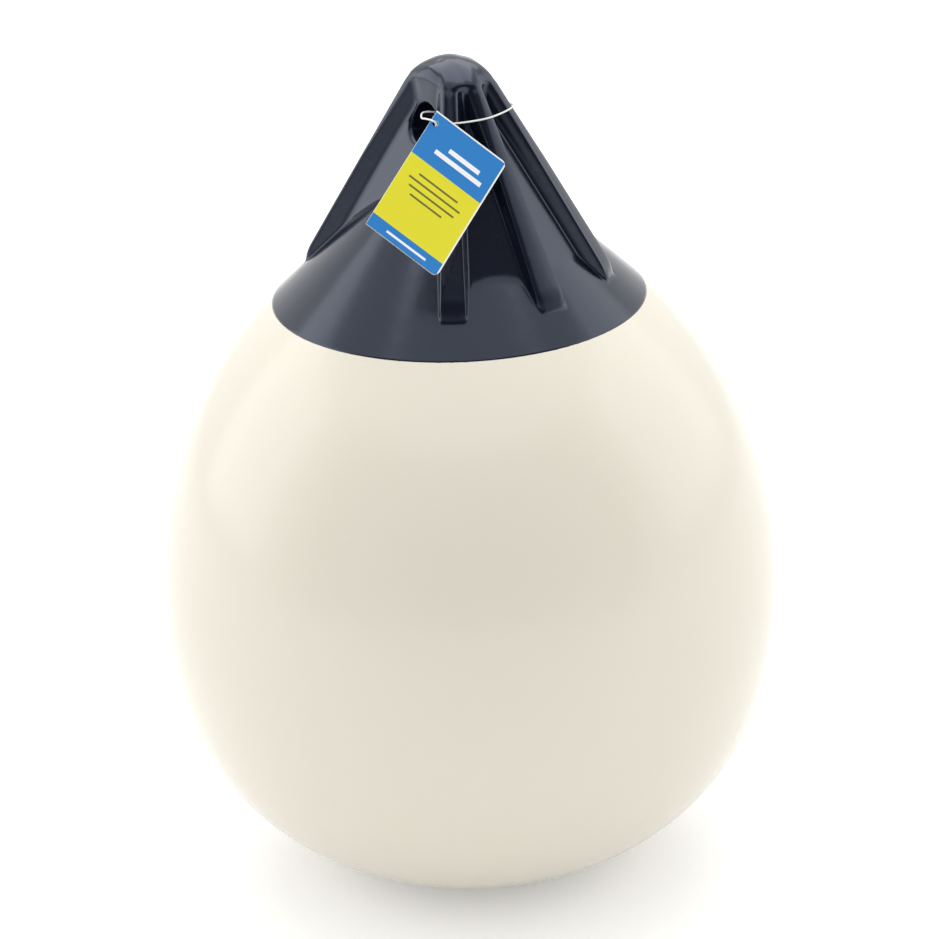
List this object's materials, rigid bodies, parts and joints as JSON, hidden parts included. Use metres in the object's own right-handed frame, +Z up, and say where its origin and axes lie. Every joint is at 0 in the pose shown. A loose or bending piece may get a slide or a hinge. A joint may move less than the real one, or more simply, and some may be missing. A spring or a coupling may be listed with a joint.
{
  "type": "inflatable mooring buoy",
  "caption": "Balloon-shaped inflatable vinyl float under a ribbed conical head with a through eye for a mooring line, with a folded swing card on a string.",
  "frame": {"origin": "the lowest point of the float, under the centre of the buoy's box", "axes": "+Z up the buoy's own axis; +Y through the rope eye, from the card's side towards the valve's side; +X towards the middle rib of the three that the card and its string lie on"},
  "size_m": [0.4319, 0.432, 0.584],
  "materials": {
    "white_vinyl": "smooth glossy moulded vinyl, slightly ivory",
    "navy_vinyl": "satin-gloss moulded navy vinyl",
    "valve_plastic": "moulded black plastic",
    "seal_rubber": "matte black rubber",
    "valve_screw_plastic": "moulded white plastic",
    "printed_card": "coated card printed in plain fields of blue and yellow",
    "cotton_string": "thin white twisted cotton string"
  },
  "bodies": {
    "root": {"float_body": "white_vinyl", "rope_eye_head": "navy_vinyl", "valve_seat": "valve_plastic", "valve_seal_ring": "seal_rubber", "valve_screw": "valve_screw_plastic", "tag_card": "printed_card", "tag_string": "cotton_string", "string_knot": "cotton_string"}
  },
  "joints": []
}
